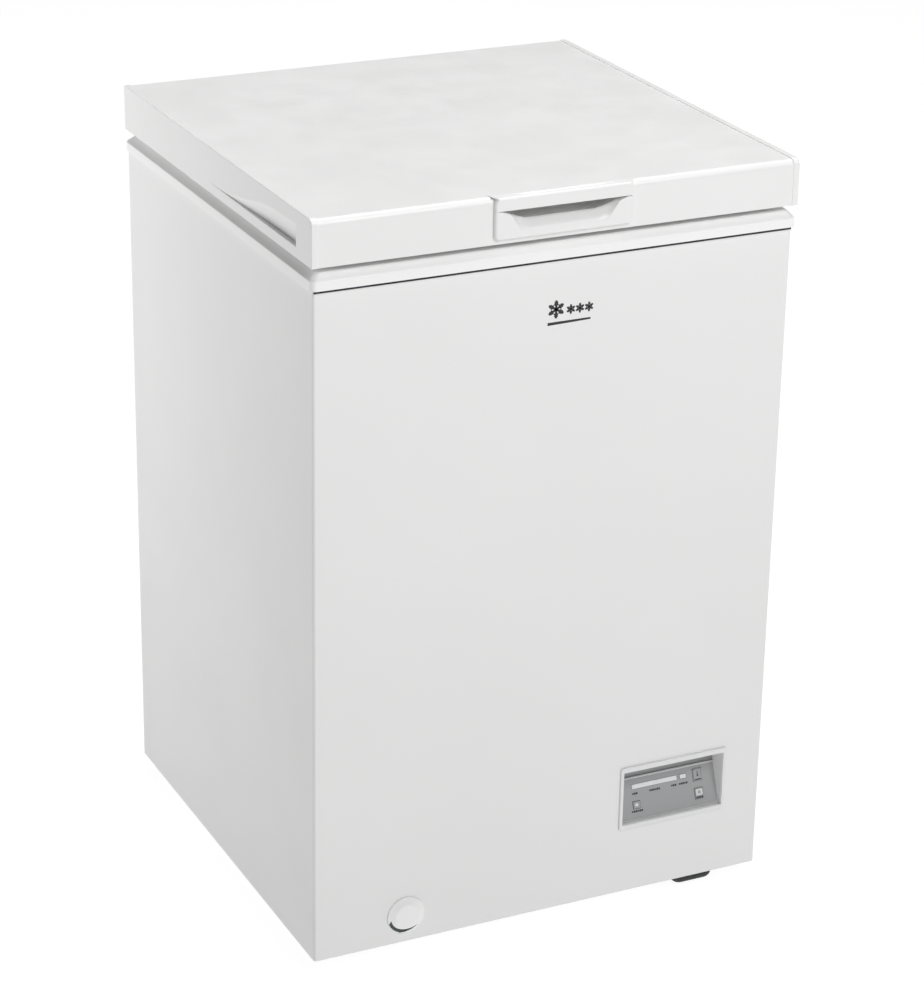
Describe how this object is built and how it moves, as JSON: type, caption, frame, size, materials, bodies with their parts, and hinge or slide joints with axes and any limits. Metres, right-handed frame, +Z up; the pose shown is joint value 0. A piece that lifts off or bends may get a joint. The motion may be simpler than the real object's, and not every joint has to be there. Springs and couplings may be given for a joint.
{
  "type": "chest freezer",
  "caption": "Small chest freezer with a hinged lid, a grip in its front edge, hand scoops in its sides, a tilted control panel, a drain spout and a hanging wire basket.",
  "frame": {"origin": "centre of the overall box, on the floor under the feet", "axes": "+Z up, -Y towards the front where the control panel is, +X to the right seen from the front"},
  "size_m": [0.546, 0.549, 0.845],
  "materials": {
    "white_steel": "white gloss coil coat",
    "white_plastic": "white moulded, satin gloss",
    "grey_plastic": "mid grey, satin",
    "light_grey_plastic": "light grey, satin",
    "dark_plastic": "dark grey, matt",
    "black_rubber": "matt",
    "gasket_grey": "soft extruded vinyl",
    "stucco_aluminium": "embossed",
    "zinc_steel": "zinc plated",
    "copper": "drawn copper tube",
    "yellow_foam": "rigid polyurethane foam",
    "black_steel": "black enamel",
    "board_green": "laminate with solder mask",
    "clear_lens": "translucent",
    "wire_coating": "white dipped coating on wire"
  },
  "bodies": {
    "cabinet": {"base_plate": "zinc_steel", "bay_liner": "zinc_steel", "boost_lens": "clear_lens", "cabinet_foam": "yellow_foam", "compressor_mount": "black_steel", "compressor_shell": "black_steel", "condenser_coil": "copper", "control_bezel": "light_grey_plastic", "control_board": "board_green", "control_fascia": "grey_plastic", "control_housing": "dark_plastic", "cord_gland": "black_rubber", "discharge_tube": "copper", "drain_socket": "dark_plastic", "drain_tube": "dark_plastic", "evaporator_coil": "zinc_steel", "filter_drier": "copper", "foot_front_left": "black_rubber", "foot_front_right": "black_rubber", "foot_rear_left": "black_rubber", "foot_rear_right": "black_rubber", "grommet_a": "black_rubber", "grommet_b": "black_rubber", "grommet_c": "black_rubber", "grommet_d": "black_rubber", "hinge_cabinet_left": "zinc_steel", "hinge_cabinet_right": "zinc_steel", "hinge_pin_left": "zinc_steel", "hinge_pin_right": "zinc_steel", "hinge_spring_left": "zinc_steel", "hinge_spring_right": "zinc_steel", "level_bar_lens": "clear_lens", "liner_tub": "stucco_aluminium", "outer_wrapper": "white_steel", "rear_grille": "zinc_steel", "rear_panel": "white_steel", "relay_box": "dark_plastic", "running_lens": "clear_lens", "suction_tube": "copper", "temperature_sensor": "black_rubber", "top_collar": "white_plastic"},
    "lid": {"handle_grip": "white_plastic", "hinge_lid_left": "zinc_steel", "hinge_lid_right": "zinc_steel", "lid_foam": "yellow_foam", "lid_gasket": "gasket_grey", "lid_liner": "white_plastic", "lid_outer": "white_plastic", "lid_trim_left": "white_plastic", "lid_trim_right": "white_plastic"},
    "basket": {"wire_basket": "wire_coating"},
    "temperature_key": {"temp_key": "grey_plastic"},
    "boost_key_cap": {"boost_key": "grey_plastic"},
    "spout": {"drain_spout": "white_plastic"},
    "spout_cap": {"drain_cap": "white_plastic"},
    "tub_plug": {"tub_drain_plug": "black_rubber"}
  },
  "joints": [
    {"name": "lid_hinge", "type": "hinge", "parent": "cabinet", "child": "lid", "pos_m": [0, 0.267, 0.795], "axis": [-1, 0, 0], "range_deg": [0, 85]},
    {"name": "basket_slide", "type": "slide", "parent": "cabinet", "child": "basket", "axis": [-1, 0, 0], "range_m": [0, 0.215]},
    {"name": "temp_key_press", "type": "slide", "parent": "cabinet", "child": "temperature_key", "axis": [0, 0.9403, -0.3404], "range_m": [0, 0.0008], "stiffness_N_per_m": 400},
    {"name": "boost_key_press", "type": "slide", "parent": "cabinet", "child": "boost_key_cap", "axis": [0, 0.9403, -0.3404], "range_m": [0, 0.0008], "stiffness_N_per_m": 400},
    {"name": "spout_pull", "type": "slide", "parent": "cabinet", "child": "spout", "axis": [0, -1, 0], "range_m": [0, 0.018]},
    {"name": "spout_cap_turn", "type": "hinge", "parent": "spout", "child": "spout_cap", "pos_m": [-0.1635, -0.266, 0.0515], "axis": [0, -1, 0], "range_deg": [0, 180]},
    {"name": "tub_plug_lift", "type": "slide", "parent": "cabinet", "child": "tub_plug", "axis": [0, 0, 1], "range_m": [0, 0.03]}
  ]
}
